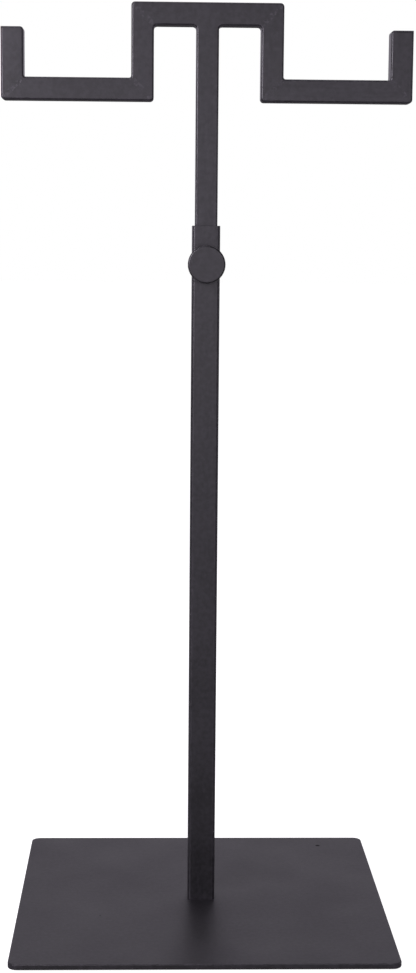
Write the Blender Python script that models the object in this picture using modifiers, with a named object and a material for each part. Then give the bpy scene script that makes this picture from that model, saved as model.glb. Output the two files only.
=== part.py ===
"""Height-adjustable countertop stand with two hooks, in metres, +Z up.

A square steel plate carries a square tube. A smaller square stem slides in that tube and is
held by a thumb screw. The stem ends in a head of mitred square bars: a raised bridge in the
middle and an upturned hook on each side. The origin is the middle of the footprint, on the
surface that the stand rests on.
"""

import math

import bmesh
import bpy
from mathutils import Vector

# ---------------------------------------------------------------- driving dimensions (metres)

GAP = 0.0003  # clearance between pieces that touch each other

BASE_WIDTH = 0.203  # plate, along X
BASE_DEPTH = 0.203  # plate, along Y
BASE_THICKNESS = 0.003
BASE_CORNER_RADIUS = 0.005
BASE_EDGE_ROUND = 0.0004

PAD_DIAMETER = 0.012
PAD_THICKNESS = 0.0015
PAD_INSET = 0.016  # from each edge of the plate to a pad's centre

POST_SIDE = 0.015  # outer square tube
POST_WALL = 0.0012
POST_LENGTH = 0.375
POST_CORNER_RADIUS = 0.0016

SLIDE_CLEARANCE = 0.0003  # each side, between the stem and the tube around it
STEM_WALL = 0.0010
STEM_LENGTH = 0.250
STEM_EXPOSED = 0.105  # stem that shows between the tube and the head
STEM_CORNER_RADIUS = 0.0016
TUBE_INNER_RADIUS = 0.0003

BRIDGE_GAP = 0.057  # clear width between the two risers
HOOK_GAP = 0.057  # clear width of each hook
HEAD_HEIGHT = 0.0515  # underside of the hook bars to the top of the bridge
TIP_HEIGHT = 0.038  # underside of the hook bars to the end of a tip
TIP_CAP_THICKNESS = 0.0010
TIP_CAP_DEPTH = 0.0030  # how far the cap's plug reaches into its tube

GUIDE_FLANGE = 0.0020
GUIDE_DEPTH = 0.0100

FOOT_PLUG_HEIGHT = 0.015
BASE_SCREW_DIAMETER = 0.005
BASE_SCREW_HEAD_DIAMETER = 0.010
BASE_SCREW_HEAD_HEIGHT = 0.0026
BASE_SCREW_ENGAGEMENT = 0.0125
BASE_SCREW_SOCKET = 0.003  # across flats
BASE_SCREW_SOCKET_DEPTH = 0.0016

CLAMP_DROP = 0.0205  # top of the outer tube to the screw's axis
STUD_DIAMETER = 0.006
NUT_WALL = 0.0020  # nut's flats, outside the thread
NUT_THICKNESS = 0.005
KNOB_DIAMETER = 0.020
KNOB_THICKNESS = 0.0045
KNOB_EDGE_ROUND = 0.0008
KNOB_HUB_WALL = 0.0018
KNOB_HUB_LENGTH = 0.0020
KNOB_STANDOFF = 0.0015  # nut to the knob's hub, with the screw tight
STUD_SEAT = 0.0045  # how deep the stud sits in the knob
CLAMP_TIP_SHOULDER = 0.00075
CLAMP_TIP_LENGTH = 0.0015

ARC_STEPS = 4  # segments in a quarter round
TURN_STEPS = 40  # segments in a turned piece

# ---------------------------------------------------------------- worked-out sizes and places

POST_BORE = POST_SIDE - 2 * POST_WALL
STEM_SIDE = POST_BORE - 2 * SLIDE_CLEARANCE
STEM_BORE = STEM_SIDE - 2 * STEM_WALL

BASE_BOTTOM = PAD_THICKNESS + GAP
BASE_TOP = BASE_BOTTOM + BASE_THICKNESS
POST_BOTTOM = BASE_TOP + GAP
POST_TOP = POST_BOTTOM + POST_LENGTH
CLAMP_Z = POST_TOP - CLAMP_DROP

BRIDGE_UNDERSIDE = POST_TOP + STEM_EXPOSED
BRIDGE_Z = BRIDGE_UNDERSIDE + STEM_SIDE / 2
HEAD_TOP = BRIDGE_UNDERSIDE + STEM_SIDE
HOOK_UNDERSIDE = HEAD_TOP - HEAD_HEIGHT
HOOK_Z = HOOK_UNDERSIDE + STEM_SIDE / 2
TIP_END = HOOK_UNDERSIDE + TIP_HEIGHT
RISER_X = (BRIDGE_GAP + STEM_SIDE) / 2
TIP_X = RISER_X + HOOK_GAP + STEM_SIDE

# Distances forward of the tube's axis, along the thumb screw.
TIP_REACH = STEM_SIDE / 2 + GAP
STUD_REACH = TIP_REACH + CLAMP_TIP_LENGTH + GAP
NUT_REACH = POST_SIDE / 2 + GAP
KNOB_REACH = NUT_REACH + NUT_THICKNESS + KNOB_STANDOFF
THREAD_HOLE_RADIUS = STUD_DIAMETER / 2 + GAP

COLOURS = {
    "powder_coat": ((0.032, 0.030, 0.035), 0.50, 0.0),
    "black_plastic": ((0.020, 0.020, 0.021), 0.55, 0.0),
    "rubber": ((0.018, 0.018, 0.018), 0.85, 0.0),
    "zinc_steel": ((0.42, 0.42, 0.43), 0.35, 1.0),
    "nylon": ((0.62, 0.60, 0.54), 0.45, 0.0),
}

# ---------------------------------------------------------------- scene helpers


def clear_scene():
    for existing in list(bpy.data.objects):
        bpy.data.objects.remove(existing, do_unlink=True)


def new_collection(name):
    made = bpy.data.collections.new(name)
    bpy.context.scene.collection.children.link(made)
    return made


def new_material(name, finish):
    """One Principled material, from a colour, a roughness and a metallic value."""
    colour, roughness, metallic = COLOURS[finish]
    material = bpy.data.materials.new(name)
    material.use_nodes = True
    shader = material.node_tree.nodes["Principled BSDF"]
    shader.inputs["Base Color"].default_value = (*colour, 1.0)
    shader.inputs["Roughness"].default_value = roughness
    shader.inputs["Metallic"].default_value = metallic
    return material


def add_part(name, mesh, finish, place=(0, 0, 0), turn=(0, 0, 0), parent=None):
    """A named piece in the stand's collection, with its own material."""
    part = bpy.data.objects.new(name, mesh)
    stand.objects.link(part)
    part.parent = parent
    part.location = place
    part.rotation_euler = turn
    mesh.materials.append(new_material(name + "_finish", finish))
    return part


def add_empty(name, place, turn=(0, 0, 0)):
    """A joint's frame, which its moving pieces are parented to."""
    empty = bpy.data.objects.new(name, None)
    stand.objects.link(empty)
    empty.location = place
    empty.rotation_euler = turn
    return empty


def cut(part, cutter):
    """Takes the cutter's shape out of a part and puts the cutter out of sight."""
    stand.objects.unlink(cutter)
    cutters.objects.link(cutter)
    cutter.hide_render = True
    cutter.display_type = "WIRE"
    modifier = part.modifiers.new("cut_" + cutter.name, "BOOLEAN")
    modifier.operation = "DIFFERENCE"
    modifier.solver = "EXACT"
    modifier.object = cutter


def smooth(mesh, degrees=30):
    mesh.shade_smooth()
    mesh.set_sharp_from_angle(angle=math.radians(degrees))


# ---------------------------------------------------------------- shape helpers


def arc(centre, radius, start, end, steps=ARC_STEPS):
    """Points along an arc, from one angle in degrees to another."""
    angles = [math.radians(start + (end - start) * i / steps) for i in range(steps + 1)]
    return [(centre[0] + radius * math.cos(a), centre[1] + radius * math.sin(a)) for a in angles]


def rounded_rectangle(width, depth, radius):
    """A rectangle's outline around the origin, with round corners."""
    x, y = width / 2 - radius, depth / 2 - radius
    points = []
    for corner, start in (((x, y), 0), ((-x, y), 90), ((-x, -y), 180), ((x, -y), 270)):
        points += arc(corner, radius, start, start + 90)
    return points


def regular_outline(radius, sides):
    """A regular polygon's or a circle's outline around the origin."""
    return arc((0, 0), radius, 0, 360, sides)[:-1]


def extruded(name, outlines, height):
    """A mesh of the outlines' shape along Z, centred on the origin; inner outlines are holes."""
    curve = bpy.data.curves.new(name + "_outline", "CURVE")
    curve.dimensions = "2D"
    curve.fill_mode = "BOTH"
    curve.extrude = height / 2
    for outline in outlines:
        spline = curve.splines.new("POLY")
        spline.points.add(len(outline) - 1)
        spline.use_cyclic_u = True
        for point, (x, y) in zip(spline.points, outline):
            point.co = (x, y, 0, 1)
    guide = bpy.data.objects.new(name + "_outline", curve)
    stand.objects.link(guide)
    evaluated = guide.evaluated_get(bpy.context.evaluated_depsgraph_get())
    mesh = bpy.data.meshes.new_from_object(evaluated)
    bpy.data.objects.remove(guide)
    mesh.name = name
    shape = bmesh.new()
    shape.from_mesh(mesh)
    bmesh.ops.remove_doubles(shape, verts=shape.verts, dist=1e-6)
    bmesh.ops.recalc_face_normals(shape, faces=shape.faces)
    shape.to_mesh(mesh)
    shape.free()
    smooth(mesh)
    return mesh


def square_tube(name, side, bore, radius, length):
    """A length of square tube along Z, centred on the origin."""
    outer = rounded_rectangle(side, side, radius)
    inner = rounded_rectangle(bore, bore, TUBE_INNER_RADIUS)
    return extruded(name, (outer, inner), length)


def bevel_ends(mesh, half_length, start_slope, end_slope):
    """Slants a tube's two end faces: each end's height then changes along X by its slope."""
    for vertex in mesh.vertices:
        slope = end_slope if vertex.co.z > 0 else start_slope
        end = half_length if vertex.co.z > 0 else -half_length
        vertex.co.z = end + slope * vertex.co.x


def turned(name, profile, finish, parent=None, place=(0, 0, 0)):
    """A turned piece: the profile runs from the axis, down the outer side, to the axis."""
    mesh = bpy.data.meshes.new(name)
    edges = [(i, i + 1) for i in range(len(profile) - 1)]
    mesh.from_pydata([(x, 0, z) for x, z in profile], edges, [])
    part = add_part(name, mesh, finish, place, parent=parent)
    screw = part.modifiers.new("turn", "SCREW")
    screw.axis = "Z"
    screw.angle = math.radians(360)
    screw.steps = TURN_STEPS
    screw.render_steps = TURN_STEPS
    screw.use_merge_vertices = True
    screw.merge_threshold = 0.00001
    screw.use_smooth_shade = True
    return part


def block_with_plug(name, side, radius, plate, plug_side, plug_depth):
    """A square plate with a smaller square plug under it, the plate's top face at Z 0."""
    levels = (
        (rounded_rectangle(side, side, radius), 0),
        (rounded_rectangle(side, side, radius), -plate),
        (rounded_rectangle(plug_side, plug_side, TUBE_INNER_RADIUS), -plate),
        (rounded_rectangle(plug_side, plug_side, TUBE_INNER_RADIUS), -plate - plug_depth),
    )
    shape = bmesh.new()
    rings = [[shape.verts.new((x, y, z)) for x, y in outline] for outline, z in levels]
    for upper, lower in zip(rings, rings[1:]):
        for i in range(len(upper)):
            shape.faces.new((upper[i - 1], upper[i], lower[i], lower[i - 1]))
    shape.faces.new(rings[0])
    shape.faces.new(reversed(rings[-1]))
    bmesh.ops.recalc_face_normals(shape, faces=shape.faces)
    mesh = bpy.data.meshes.new(name)
    shape.to_mesh(mesh)
    shape.free()
    smooth(mesh)
    return mesh


# ---------------------------------------------------------------- base


def make_base_plate():
    """The steel plate, with a countersunk hole in its middle for the screw from below."""
    outline = rounded_rectangle(BASE_WIDTH, BASE_DEPTH, BASE_CORNER_RADIUS)
    mesh = extruded("base_plate", (outline,), BASE_THICKNESS)
    place = (0, 0, BASE_BOTTOM + BASE_THICKNESS / 2)
    plate = add_part("base_plate", mesh, "powder_coat", place)
    edge = plate.modifiers.new("edge_round", "BEVEL")
    edge.width = BASE_EDGE_ROUND
    edge.segments = 2
    edge.limit_method = "ANGLE"
    edge.angle_limit = math.radians(60)
    shank = BASE_SCREW_DIAMETER / 2 + GAP
    slope = (BASE_SCREW_HEAD_DIAMETER - BASE_SCREW_DIAMETER) / 2 / BASE_SCREW_HEAD_HEIGHT
    head = BASE_SCREW_HEAD_DIAMETER / 2 + GAP * math.hypot(1, slope)
    cone_top = (head - shank) / slope  # the cone is parallel to the screw head's
    beyond = BASE_THICKNESS
    profile = [
        (0, BASE_THICKNESS + beyond),
        (shank, BASE_THICKNESS + beyond),
        (shank, cone_top),
        (head, 0),
        (head, -beyond),
        (0, -beyond),
    ]
    cutter = turned("countersink", profile, "zinc_steel", place=(0, 0, BASE_BOTTOM))
    cut(plate, cutter)


def make_floor_pads():
    """Four thin rubber discs under the plate's corners."""
    x = BASE_WIDTH / 2 - PAD_INSET
    y = BASE_DEPTH / 2 - PAD_INSET
    corners = {"front_left": (-x, -y), "front_right": (x, -y), "back_left": (-x, y), "back_right": (x, y)}
    for corner, (pad_x, pad_y) in corners.items():
        radius = PAD_DIAMETER / 2
        profile = [(0, PAD_THICKNESS), (radius, PAD_THICKNESS), (radius, 0), (0, 0)]
        turned("floor_pad_" + corner, profile, "rubber", place=(pad_x, pad_y, 0))


def make_base_screw():
    """The countersunk socket screw that pulls the tube's foot plug down on the plate."""
    shank = BASE_SCREW_DIAMETER / 2
    length = BASE_THICKNESS + GAP + BASE_SCREW_ENGAGEMENT
    chamfer = shank / 4
    profile = [
        (0, length),
        (shank - chamfer, length),
        (shank, length - chamfer),
        (shank, BASE_SCREW_HEAD_HEIGHT),
        (BASE_SCREW_HEAD_DIAMETER / 2, 0),
        (0, 0),
    ]
    screw = turned("base_screw", profile, "zinc_steel", place=(0, 0, BASE_BOTTOM))
    flats_to_corner = 1 / math.cos(math.radians(30))
    socket = regular_outline(BASE_SCREW_SOCKET / 2 * flats_to_corner, 6)
    mesh = extruded("hex_socket", (socket,), 2 * BASE_SCREW_SOCKET_DEPTH)
    cutter = add_part("hex_socket", mesh, "zinc_steel", (0, 0, BASE_BOTTOM))
    cut(screw, cutter)


# ---------------------------------------------------------------- outer tube


def make_post_tube():
    """The outer tube, open at the top, with the thumb screw's hole through its front wall."""
    mesh = square_tube("post_tube", POST_SIDE, POST_BORE, POST_CORNER_RADIUS, POST_LENGTH)
    tube = add_part("post_tube", mesh, "powder_coat", (0, 0, POST_BOTTOM + POST_LENGTH / 2))
    hole = extruded("clamp_hole", (regular_outline(THREAD_HOLE_RADIUS, TURN_STEPS),), POST_SIDE / 2)
    front_wall = (0, -POST_SIDE / 2, CLAMP_Z)
    cutter = add_part("clamp_hole", hole, "zinc_steel", front_wall, (math.radians(90), 0, 0))
    cut(tube, cutter)


def make_foot_plug():
    """The threaded block fixed in the outer tube's lower end."""
    side = POST_BORE - 2 * GAP
    block = rounded_rectangle(side, side, TUBE_INNER_RADIUS)
    bore = regular_outline(BASE_SCREW_DIAMETER / 2 + GAP, TURN_STEPS)
    mesh = extruded("post_foot_plug", (block, bore), FOOT_PLUG_HEIGHT)
    add_part("post_foot_plug", mesh, "zinc_steel", (0, 0, POST_BOTTOM + FOOT_PLUG_HEIGHT / 2))


# ---------------------------------------------------------------- thumb screw


def make_clamp_nut():
    """The hexagonal nut fixed to the tube's front face."""
    flats_to_corner = 1 / math.cos(math.radians(30))
    hexagon = regular_outline((STUD_DIAMETER / 2 + NUT_WALL) * flats_to_corner, 6)
    bore = regular_outline(THREAD_HOLE_RADIUS, TURN_STEPS)
    mesh = extruded("clamp_nut", (hexagon, bore), NUT_THICKNESS)
    place = (0, -(NUT_REACH + NUT_THICKNESS / 2), CLAMP_Z)
    add_part("clamp_nut", mesh, "powder_coat", place, (math.radians(90), 0, 0))


def make_clamp_knob(axis):
    """The round flat knob with a short hub, and the blind hole that holds the stud."""
    rim = KNOB_DIAMETER / 2
    hub = STUD_DIAMETER / 2 + KNOB_HUB_WALL
    back = KNOB_REACH + KNOB_HUB_LENGTH
    front = back + KNOB_THICKNESS
    bore_end = KNOB_REACH + STUD_SEAT + GAP
    centre = rim - KNOB_EDGE_ROUND
    profile = [(0, front)]
    profile += arc((centre, front - KNOB_EDGE_ROUND), KNOB_EDGE_ROUND, 90, 0)
    profile += arc((centre, back + KNOB_EDGE_ROUND), KNOB_EDGE_ROUND, 0, -90)
    profile += [
        (hub, back),
        (hub, KNOB_REACH),
        (THREAD_HOLE_RADIUS, KNOB_REACH),
        (THREAD_HOLE_RADIUS, bore_end),
        (0, bore_end),
    ]
    turned("clamp_knob", profile, "powder_coat", axis)


def make_clamp_stud(axis):
    """The threaded stud, from its seat in the knob to the tip that presses on the stem."""
    radius = STUD_DIAMETER / 2
    chamfer = radius / 4
    seat = KNOB_REACH + STUD_SEAT
    profile = [
        (0, seat),
        (radius, seat),
        (radius, STUD_REACH + chamfer),
        (radius - chamfer, STUD_REACH),
        (0, STUD_REACH),
    ]
    turned("clamp_stud", profile, "zinc_steel", axis)


def make_clamp_tip(axis):
    """The nylon tip on the stud's end, which keeps the screw from scratching the stem."""
    radius = STUD_DIAMETER / 2 - CLAMP_TIP_SHOULDER
    chamfer = CLAMP_TIP_LENGTH / 5
    end = TIP_REACH + CLAMP_TIP_LENGTH
    profile = [
        (0, end),
        (radius, end),
        (radius, TIP_REACH + chamfer),
        (radius - chamfer, TIP_REACH),
        (0, TIP_REACH),
    ]
    turned("clamp_tip", profile, "nylon", axis)


# ---------------------------------------------------------------- stem and head


def make_stem(slide):
    """The inner tube and the plastic guide that closes its lower end."""
    top = BRIDGE_UNDERSIDE - GAP
    bottom = top - STEM_LENGTH
    mesh = square_tube("stem_tube", STEM_SIDE, STEM_BORE, STEM_CORNER_RADIUS, STEM_LENGTH)
    add_part("stem_tube", mesh, "powder_coat", (0, 0, top - STEM_LENGTH / 2 - POST_TOP), parent=slide)
    plug = STEM_BORE - 2 * GAP
    guide = block_with_plug("stem_guide", STEM_SIDE, STEM_CORNER_RADIUS, GUIDE_FLANGE, plug, GUIDE_DEPTH)
    upside_down = (math.radians(180), 0, 0)
    place = (0, 0, bottom - GAP - GUIDE_FLANGE - POST_TOP)
    add_part("stem_guide", guide, "black_plastic", place, upside_down, slide)


def head_path():
    """The bars' centre line in X and Z, from the left tip's end to the right tip's end."""
    tip = TIP_END - TIP_CAP_THICKNESS - GAP
    left = [(-TIP_X, tip), (-TIP_X, HOOK_Z), (-RISER_X, HOOK_Z), (-RISER_X, BRIDGE_Z)]
    return [Vector(p) for p in left + [(-x, z) for x, z in reversed(left)]]


def make_head(slide):
    """Seven lengths of square tube, mitred to each other along one line."""
    names = ("left_hook_tip", "left_hook_bar", "left_riser", "top_bar")
    names += ("right_riser", "right_hook_bar", "right_hook_tip")
    path = head_path()
    runs = [(end - start).normalized() for start, end in zip(path, path[1:])]
    trim = GAP / 2 * math.sqrt(2)  # along the bar, for half the gap square to the mitre
    for i, name in enumerate(names):
        start, end, run = path[i].copy(), path[i + 1].copy(), runs[i]
        side = Vector((run.y, -run.x))  # the bar's own X, once it is turned along its run
        start_slope, end_slope = 0, 0
        if i > 0:
            start_slope = round(-runs[i - 1].dot(side))
            start += run * trim
        if i < len(names) - 1:
            end_slope = round(-runs[i + 1].dot(side))
            end -= run * trim
        length = (end - start).length
        mesh = square_tube(name, STEM_SIDE, STEM_BORE, STEM_CORNER_RADIUS, length)
        bevel_ends(mesh, length / 2, start_slope, end_slope)
        middle = (start + end) / 2
        turn = (0, math.atan2(run.x, run.y), 0)
        add_part(name, mesh, "powder_coat", (middle.x, 0, middle.y - POST_TOP), turn, slide)


def make_tip_caps(slide):
    """The caps that close the two upturned tips."""
    plug = STEM_BORE - 2 * GAP
    for name, x in (("left_tip_cap", -TIP_X), ("right_tip_cap", TIP_X)):
        mesh = block_with_plug(name, STEM_SIDE, STEM_CORNER_RADIUS, TIP_CAP_THICKNESS, plug, TIP_CAP_DEPTH)
        add_part(name, mesh, "powder_coat", (x, 0, TIP_END - POST_TOP), parent=slide)


# ---------------------------------------------------------------- the stand


clear_scene()
stand = new_collection("two_hook_stand")
cutters = new_collection("cutters")

stem_slide = add_empty("stem_slide", (0, 0, POST_TOP))
clamp_axis = add_empty("clamp_axis", (0, 0, CLAMP_Z), (math.radians(90), 0, 0))

make_base_plate()
make_floor_pads()
make_base_screw()
make_post_tube()
make_foot_plug()
make_clamp_nut()
make_clamp_knob(clamp_axis)
make_clamp_stud(clamp_axis)
make_clamp_tip(clamp_axis)
make_stem(stem_slide)
make_head(stem_slide)
make_tip_caps(stem_slide)
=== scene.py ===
# %% [markdown]
# # A height-adjustable stand with two hooks
# A square steel plate holds up a square tube, and a smaller square stem slides inside that tube.
# A thumb screw grips the stem. The head is one bent line of square bar: a raised bridge in the
# middle and an upturned hook at each side. All of it is steel with one black powder coat, so the
# work goes into crisp rounded edges, welded corners and a coat that looks sprayed and baked.

# %% Load the frame
import math

import bmesh
import bpy
from mathutils import Matrix, Vector


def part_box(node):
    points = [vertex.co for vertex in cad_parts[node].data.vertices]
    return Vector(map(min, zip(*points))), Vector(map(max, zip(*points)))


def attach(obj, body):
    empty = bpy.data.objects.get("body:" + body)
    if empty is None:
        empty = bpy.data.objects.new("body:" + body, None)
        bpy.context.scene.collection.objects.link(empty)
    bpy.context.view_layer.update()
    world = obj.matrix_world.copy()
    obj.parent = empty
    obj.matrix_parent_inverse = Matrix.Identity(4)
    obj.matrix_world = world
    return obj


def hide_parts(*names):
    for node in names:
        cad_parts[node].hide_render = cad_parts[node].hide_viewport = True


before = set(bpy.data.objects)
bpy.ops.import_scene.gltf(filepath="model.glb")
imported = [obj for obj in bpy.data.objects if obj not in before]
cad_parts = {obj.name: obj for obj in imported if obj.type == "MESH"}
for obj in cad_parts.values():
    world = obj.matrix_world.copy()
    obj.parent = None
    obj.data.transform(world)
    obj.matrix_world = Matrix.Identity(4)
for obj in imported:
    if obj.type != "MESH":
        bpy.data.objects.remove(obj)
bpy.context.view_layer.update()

# %% [markdown]
# ## Sizes
# Every place comes from the frame's own boxes, so nothing here can drift away from the design.
# The frame leaves a hair of room between pieces that are welded on the real stand. The visible
# pieces close that room, and each one keeps the outer size of the node it stands for.

# %% Sizes from the frame
MM = 0.001
SAME_POINT = 0.001 * MM  # corners closer than this are one corner
ON_PLANE = 0.01 * MM  # a corner closer than this to a plane lies on it


def low(node):
    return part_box(node)[0]


def high(node):
    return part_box(node)[1]


bar = high("stem_tube").x - low("stem_tube").x
bridge_top = high("top_bar").z
bridge_underside = bridge_top - bar
riser_outer = high("right_riser").x
riser_inner = riser_outer - bar
hook_underside = low("right_hook_bar").z
hook_floor = hook_underside + bar
tip_outer = high("right_hook_tip").x
tip_inner = tip_outer - bar
tip_end = high("right_tip_cap").z
stem_bottom = low("stem_tube").z
clamp_height = (high("clamp_knob").z + low("clamp_knob").z) / 2
print("bar", round(bar / MM, 2), "mm, head", round(2 * tip_outer / MM, 1), "mm wide")

# %% [markdown]
# ## A cutting kit
# Most pieces here are a plain closed shape that gets cut by planes. A mitred bar is a length of
# frame with a slanting cut at each end, and a tube is a solid with a void in it and both ends
# sawn off. So three small helpers do most of the work: one closes an outline into a solid, one
# saws along a plane and caps the cut, and one rounds chosen edges. The cap is a triangle fill,
# because it copes with a cut that has a hole in the middle.

# %% Solids from outlines
def outline_solid(shape, outline, depth, inward=False):
    """A closed solid: the outline in X and Z, carried along Y and centred on it."""
    ring = [shape.verts.new((x, -depth / 2, z)) for x, z in outline]
    front = shape.faces.new(ring)
    grown = bmesh.ops.extrude_face_region(shape, geom=[front])
    moved = [item for item in grown["geom"] if isinstance(item, bmesh.types.BMVert)]
    bmesh.ops.translate(shape, verts=moved, vec=(0, depth, 0))
    faces = list({face for vertex in ring + moved for face in vertex.link_faces})
    bmesh.ops.recalc_face_normals(shape, faces=faces)
    if inward:
        bmesh.ops.reverse_faces(shape, faces=faces)
    return faces


# %% Saw along a plane
def saw(shape, point, away):
    """Cuts the shape along a plane, drops what lies on the side of away, and caps the cut."""
    everything = list(shape.verts) + list(shape.edges) + list(shape.faces)
    bmesh.ops.bisect_plane(
        shape, geom=everything, dist=SAME_POINT, plane_co=point, plane_no=away, clear_outer=True
    )
    point, away = Vector(point), Vector(away).normalized()
    rim = [
        edge
        for edge in shape.edges
        if edge.is_boundary and all(abs((v.co - point).dot(away)) < ON_PLANE for v in edge.verts)
    ]
    bmesh.ops.triangle_fill(shape, edges=rim, use_beauty=True, normal=away)


# %% Round some edges
def upright(edges, height):
    """The edges that stand up along Z, in a shape of this height."""
    return [edge for edge in edges if abs(edge.verts[0].co.z - edge.verts[1].co.z) > height / 2]


def round_edges(shape, edges, radius, steps):
    """Rounds edges and marks the new faces, so that the coat can thin out along them."""
    worn = shape.faces.layers.float.get("edge_wear") or shape.faces.layers.float.new("edge_wear")
    made = bmesh.ops.bevel(
        shape,
        geom=list(edges),
        offset=radius,
        offset_type="OFFSET",
        segments=steps,
        profile=0.5,
        affect="EDGES",
        clamp_overlap=True,
        material=-1,
    )
    for face in made["faces"]:
        face[worn] = 1.0


# %% [markdown]
# ## Turning a bmesh into a piece
# A finished piece stays at the origin with its place in its mesh, rides on one body of the frame
# and stands for one node. Broad flat faces next to thin rounded strips shade badly if every
# corner normal is a plain average: the flats look pillowed. A Weighted Normal modifier lets the
# large faces win, which is how a bevelled steel part really catches the light.

# %% Finish a piece
def finish_piece(node, shape, finish, body, sharp=38):
    """Makes an object of the shape, rides it on its body and hides the node it stands for."""
    name = node + "_finish"
    bmesh.ops.remove_doubles(shape, verts=shape.verts, dist=SAME_POINT / 10)
    open_edges = sum(1 for edge in shape.edges if not edge.is_manifold)
    volume = shape.calc_volume(signed=True)
    mesh = bpy.data.meshes.new(name)
    shape.to_mesh(mesh)
    shape.free()
    mesh.shade_smooth()
    mesh.set_sharp_from_angle(angle=math.radians(sharp))
    mesh.materials.append(finish)
    piece = bpy.data.objects.new(name, mesh)
    bpy.context.scene.collection.objects.link(piece)
    shading = piece.modifiers.new("even_shading", "WEIGHTED_NORMAL")
    shading.weight = 100
    shading.keep_sharp = True
    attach(piece, body)
    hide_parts(node)
    print(f"{name}: {len(mesh.polygons)} faces, {open_edges} open edges, {volume / MM**3:.0f} mm3")


# %% [markdown]
# ## The powder coat
# Powder coat is sprayed on as dust and baked until it flows. It never levels fully: it keeps a
# faint orange peel a few millimetres across, with a much finer grain on top. It pulls thin over
# edges, where it looks a little paler, and it lies uneven where a weld was ground flush. Faint
# lines from the drawing of the tube show through it, and a dust nib or two gets baked in.
# An image would fix all this at one scale, so the coat is made of noise in object coordinates,
# in metres: a scale of 420 means waves of about 2.4 mm on every piece alike. The mesh itself
# says where the edges and welds are, and which bars lie level.

# %% Small node helpers
def noise(tree, where, scale, detail=2.0):
    node = tree.nodes.new("ShaderNodeTexNoise")
    node.inputs["Scale"].default_value = scale
    node.inputs["Detail"].default_value = detail
    tree.links.new(where, node.inputs["Vector"])
    return node.outputs["Fac"]


def spread(tree, value, start, end, to_low=0.0, to_high=1.0):
    """Maps a range of values onto another, and clamps what falls outside."""
    node = tree.nodes.new("ShaderNodeMapRange")
    sockets = ("From Min", "From Max", "To Min", "To Max")
    for name, number in zip(sockets, (start, end, to_low, to_high)):
        node.inputs[name].default_value = number
    tree.links.new(value, node.inputs["Value"])
    return node.outputs["Result"]


def combine(tree, operation, first, second):
    node = tree.nodes.new("ShaderNodeMath")
    node.operation = operation
    for socket, value in zip(node.inputs, (first, second)):
        if isinstance(value, (int, float)):
            socket.default_value = value
        else:
            tree.links.new(value, socket)
    return node.outputs["Value"]


def blend_colours(tree, share, first, second):
    node = tree.nodes.new("ShaderNodeMix")
    node.data_type = "RGBA"
    tree.links.new(share, node.inputs["Factor"])
    for socket, colour in ((node.inputs["A"], first), (node.inputs["B"], second)):
        if isinstance(colour, tuple):
            socket.default_value = (*colour, 1.0)
        else:
            tree.links.new(colour, socket)
    return node.outputs["Result"]


def bump(tree, height, distance, strength, under=None):
    node = tree.nodes.new("ShaderNodeBump")
    node.inputs["Distance"].default_value = distance
    node.inputs["Strength"].default_value = strength
    tree.links.new(height, node.inputs["Height"])
    if under is not None:
        tree.links.new(under, node.inputs["Normal"])
    return node.outputs["Normal"]


def attribute(tree, name):
    """A number that the mesh carries on its faces; a mesh without it gives 0."""
    node = tree.nodes.new("ShaderNodeAttribute")
    node.attribute_name = name
    return node.outputs["Fac"]


def start_finish(name, specular, metallic=0.0):
    """A new material, its tree, its shader and the object coordinates."""
    material = bpy.data.materials.new(name)
    material.use_nodes = True
    tree = material.node_tree
    shader = tree.nodes["Principled BSDF"]
    shader.inputs["Specular IOR Level"].default_value = specular
    shader.inputs["Metallic"].default_value = metallic
    where = tree.nodes.new("ShaderNodeTexCoord").outputs["Object"]
    return material, tree, shader, where


# %% [markdown]
# ### Marks that the coat doesn't hide
# Drawn tube has faint lines along its length, dust settles on the powder before it is baked, and
# a knock chips it. The lines are far too shallow to model, so they are noise, squeezed across the
# tube and stretched along it. A nib is a dot at the middle of a cell of a Voronoi pattern, and a
# random number for each cell picks only a few of the cells, so the nibs come out rare.

# %% Drawn lines
FINE, LONG = 700.0, 30.0  # waves per metre across the tube and along it


def drawn_lines(tree, where):
    """Noise stretched along the tube: along Z, or along X on a bar marked as level."""
    pick = tree.nodes.new("ShaderNodeMix")
    tree.links.new(attribute(tree, "level"), pick.inputs["Factor"])
    for socket, scales in (("A", (FINE, FINE, LONG)), ("B", (LONG, FINE, FINE))):
        stretch = tree.nodes.new("ShaderNodeVectorMath")
        stretch.operation = "MULTIPLY"
        stretch.inputs[1].default_value = scales
        tree.links.new(where, stretch.inputs[0])
        tree.links.new(noise(tree, stretch.outputs["Vector"], 1.0), pick.inputs[socket])
    return pick.outputs["Result"]


# %% Dust nibs and chips
NIB_CELLS = 38.0  # cells per metre, so they are about 26 mm across
NIB_SIZE = 0.011  # radius of a nib as a share of a cell, about 0.3 mm
NIB_PICK = 0.86  # each cell has a random number, and only those above this one get a nib


def nibs(tree, where):
    """Rare dust nibs: a dot at the middle of a few cells of a cell pattern."""
    cells = tree.nodes.new("ShaderNodeTexVoronoi")
    cells.inputs["Scale"].default_value = NIB_CELLS
    tree.links.new(where, cells.inputs["Vector"])
    parts = tree.nodes.new("ShaderNodeSeparateColor")
    tree.links.new(cells.outputs["Color"], parts.inputs["Color"])
    chosen = spread(tree, parts.outputs["Red"], NIB_PICK, NIB_PICK + 0.01)
    dot = spread(tree, cells.outputs["Distance"], NIB_SIZE, NIB_SIZE * 1.6, 1.0, 0.0)
    return combine(tree, "MULTIPLY", dot, chosen)


def chip(tree, where, place, size):
    """One dull chip in the coat, at a place on the piece."""
    gap = tree.nodes.new("ShaderNodeVectorMath")
    gap.operation = "DISTANCE"
    gap.inputs[1].default_value = place
    tree.links.new(where, gap.inputs[0])
    return spread(tree, gap.outputs["Value"], size / 2, size, 1.0, 0.0)


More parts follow.
